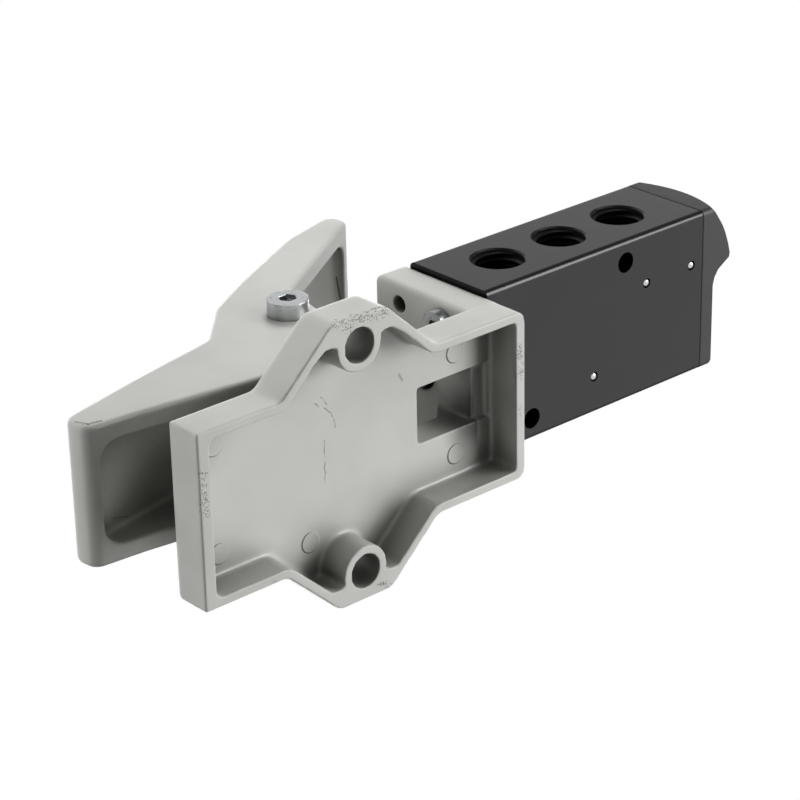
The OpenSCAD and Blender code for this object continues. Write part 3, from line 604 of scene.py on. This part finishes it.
def thread_mesh(name, side, x):
    """Ridge of a female pipe thread that winds down a port from just under its mouth."""
    count = int(THREAD_STEPS * THREAD_LENGTH / THREAD_PITCH)
    outer = THREAD_MAJOR_R + THREAD_OVERLAP
    crest = 0.12 * THREAD_PITCH
    foot = 0.46 * THREAD_PITCH
    profile = ((outer, -foot), (THREAD_MINOR_R, -crest), (THREAD_MINOR_R, crest), (outer, foot))
    mesh = bmesh.new()
    rows = []
    for i in range(count + 1):
        angle = 2 * math.pi * i / THREAD_STEPS
        depth = THREAD_TOP + foot + THREAD_PITCH * i / THREAD_STEPS
        fade = min(1.0, i / THREAD_FADE_STEPS, (count - i) / THREAD_FADE_STEPS)
        row = []
        for r, along in profile:
            r = outer + (r - outer) * fade
            y = side * (BODY_HALF - depth - along)
            point = (x + r * math.cos(angle), y, AXIS_Z + r * math.sin(angle))
            row.append(mesh.verts.new([c * MM for c in point]))
        rows.append(row)
    for a, b in zip(rows, rows[1:]):
        for j in range(len(profile)):
            k = (j + 1) % len(profile)
            mesh.faces.new((a[j], a[k], b[k], b[j]))
    mesh.faces.new(rows[0])
    mesh.faces.new(rows[-1])
    bmesh.ops.remove_doubles(mesh, verts=mesh.verts, dist=1e-7)
    bmesh.ops.recalc_face_normals(mesh, faces=mesh.faces)
    data = bpy.data.meshes.new(name)
    mesh.to_mesh(data)
    mesh.free()
    return add_object(name, data)


def spring_coil(made):
    """Copy of the return spring, attached to the frame in place of the hidden node."""
    coil = add_object("spring_coil", NODES["return_spring"].data.copy())
    coil.data.materials.clear()
    coil.data.materials.append(made)
    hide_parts("return_spring")
    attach(coil, "frame")
    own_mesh(coil)


def dress():
    """Materials on every node, soft castings in place of the sharp ones, spring and threads."""
    anodised = black_anodised()
    zinc = metal("zinc_steel", (0.82, 0.85, 0.86), (0.70, 0.72, 0.74), roughness=0.24, spread=0.16,
                 grain_mm=0.5, depth_mm=0.006, film_and_shade=0.52)
    steel = metal("bright_steel", (0.62, 0.62, 0.63), (0.52, 0.52, 0.54), roughness=0.12,
                  spread=0.08, grain_mm=0.4, depth_mm=0.003)
    bronze = metal("bronze", (0.62, 0.45, 0.22), (0.50, 0.35, 0.17), roughness=0.34, spread=0.12,
                   grain_mm=0.6, depth_mm=0.006)
    turned = metal("plain_aluminium", (0.78, 0.79, 0.80), (0.70, 0.71, 0.73), roughness=0.28,
                   spread=0.10, grain_mm=0.5, depth_mm=0.004)
    paint_nodes(anodised, "valve_body")
    paint_nodes(black_plastic(), "end_cap")
    paint_nodes(zinc, "pivot_screw", "pivot_washer", "pivot_nut", "valve_screw_1", "valve_screw_2",
                "cap_screw_1", "cap_screw_2", "cap_screw_3", "cap_screw_4")
    paint_nodes(steel, "ball_1", "ball_2", "ball_3", "plunger", "return_spring", "spring_seat")
    paint_nodes(bronze, "bush_left", "bush_right", "guide_bush")
    paint_nodes(turned, "spool")
    paint_nodes(seal_rubber(), "wiper_seal", "cap_seal", *("spool_seal_%d" % i for i in range(1, 7)))
    base_paint = casting_paint("base_paint", BASE_SCUFFS, BASE_PAINTED_SHADE, reach_mm=15.0, open_share=0.8,
                               closed_share=0.15, underside=True)
    pedal_paint = casting_paint("pedal_paint", PEDAL_SCUFFS, PEDAL_PAINTED_SHADE, reach_mm=25.0,
                                open_share=0.62, closed_share=0.3, lines=PEDAL_LINES)
    paint_nodes(base_paint, "base")
    paint_nodes(pedal_paint, "pedal")
    for node, name, body, made, rounds, bores, webs in (
        ("base", "base_casting", "frame", base_paint, 4, BASE_BORES, QUARTERS),
        ("pedal", "pedal_casting", "pedal", pedal_paint, 6, (), ()),
    ):
        piece = soft_copy(node, name, rounds, bores, webs)
        piece.data.materials.append(made)
        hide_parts(node)
        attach(piece, body)
    spring_coil(steel)
    for i, x in enumerate(PORT_X):
        thread = thread_mesh("port_thread_%d" % (i + 1), -1 if i % 2 == 0 else 1, x)
        thread.data.materials.append(anodised)
        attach(thread, "frame")


def softbox(name, azimuth, height, watts, size, glossy):
    """Square lamp in a direction given in degrees; only a glossy one shows as a highlight."""
    towards = direction(azimuth, height)
    lamp = bpy.data.lights.new(name, "AREA")
    lamp.energy = watts
    lamp.size = size
    holder = add_object(name, lamp)
    holder.location = CENTRE + towards * LAMP_DISTANCE
    holder.rotation_euler = towards.to_track_quat("Z", "Y").to_euler()
    holder.visible_glossy = glossy
    holder.visible_diffuse = not glossy


def light():
    for lamp in LAMPS:
        softbox(*lamp)


def world():
    """White backdrop; glossy faces see a pale tent, dark at the horizon and bright behind the part."""
    made = bpy.data.worlds.new("tent")
    bpy.context.scene.world = made
    made.use_nodes = True
    tree = made.node_tree
    tree.nodes.clear()
    path = add(tree, "ShaderNodeLightPath")
    ray = add(tree, "ShaderNodeTexCoord").outputs["Generated"]
    height = add(tree, "ShaderNodeSeparateXYZ", Vector=ray).outputs["Z"]
    start, full = TENT_RISE
    above = maths(tree, "MULTIPLY", step(tree, height, start, full), TENT_ABOVE)
    below = maths(tree, "MULTIPLY", step(tree, height, -start, -full), TENT_BELOW)
    towards = add(tree, "ShaderNodeVectorMath", {"operation": "DOT_PRODUCT"}, Vector=ray)
    towards.inputs[1].default_value = direction(GLOW_AZIMUTH, GLOW_HEIGHT)
    glow = maths(tree, "MULTIPLY", step(tree, towards.outputs["Value"], *GLOW_EDGE), TENT_GLOW)
    poles = maths(tree, "ADD", above, below)
    rest = maths(tree, "ADD", glow, TENT_HORIZON)
    tent = add(tree, "ShaderNodeBackground", Color=(1, 1, 1, 1), Strength=maths(tree, "ADD", poles, rest))
    soft = add(tree, "ShaderNodeBackground", Color=(1, 1, 1, 1), Strength=WORLD_FILL)
    white = add(tree, "ShaderNodeBackground", Color=(1, 1, 1, 1), Strength=1.0)
    backdrop = maths(tree, "MAXIMUM", path.outputs["Is Camera Ray"], path.outputs["Is Transmission Ray"])
    glossy = add(tree, "ShaderNodeMixShader", Fac=path.outputs["Is Glossy Ray"])
    put(tree, glossy.inputs[1], soft.outputs[0])
    put(tree, glossy.inputs[2], tent.outputs[0])
    mix = add(tree, "ShaderNodeMixShader", Fac=backdrop)
    put(tree, mix.inputs[1], glossy.outputs[0])
    put(tree, mix.inputs[2], white.outputs[0])
    out = add(tree, "ShaderNodeOutputWorld")
    put(tree, out.inputs["Surface"], mix.outputs[0])


def floor():
    """Pale floor disc, seen from above only, that fades into the white backdrop."""
    work = bmesh.new()
    bmesh.ops.create_circle(work, cap_ends=True, segments=96, radius=FLOOR_RADIUS,
                            matrix=Matrix.Translation((CENTRE.x, 0, -FLOOR_DROP)))
    data = bpy.data.meshes.new("floor")
    work.to_mesh(data)
    work.free()
    disc = add_object("floor", data)
    disc.visible_diffuse = False
    disc.visible_glossy = False
    disc.visible_transmission = False
    disc.visible_shadow = False
    made = bpy.data.materials.new("floor")
    made.use_nodes = True
    tree = made.node_tree
    tree.nodes.clear()
    pale = add(tree, "ShaderNodeBsdfDiffuse", Color=(0.86, 0.86, 0.86, 1))
    clear = add(tree, "ShaderNodeBsdfTransparent")
    away = distance(tree, (CENTRE.x / MM, 0, 0))
    faded = step(tree, away, 0.45 * FLOOR_RADIUS, 0.98 * FLOOR_RADIUS)
    below = add(tree, "ShaderNodeNewGeometry").outputs["Backfacing"]
    hidden = maths(tree, "MAXIMUM", faded, below)
    mix = add(tree, "ShaderNodeMixShader", Fac=hidden)
    put(tree, mix.inputs[1], pale.outputs[0])
    put(tree, mix.inputs[2], clear.outputs[0])
    out = add(tree, "ShaderNodeOutputMaterial")
    put(tree, out.inputs["Surface"], mix.outputs[0])
    data.materials.append(made)


def camera():
    lens = bpy.data.cameras.new("camera")
    lens.sensor_width = SENSOR_MM
    lens.lens = LENS_MM
    lens.clip_start = 0.01
    holder = add_object("camera", lens)
    sight = direction(CAMERA_AZIMUTH, CAMERA_HEIGHT).to_track_quat("-Z", "Y").to_matrix().to_4x4()
    roll = Matrix.Rotation(math.radians(CAMERA_ROLL), 4, "Z")
    holder.matrix_world = Matrix.Translation(CAMERA_AT) @ sight @ roll
    bpy.context.scene.camera = holder


dress()
light()
world()
floor()
camera()
bpy.context.scene.view_settings.view_transform = "Standard"
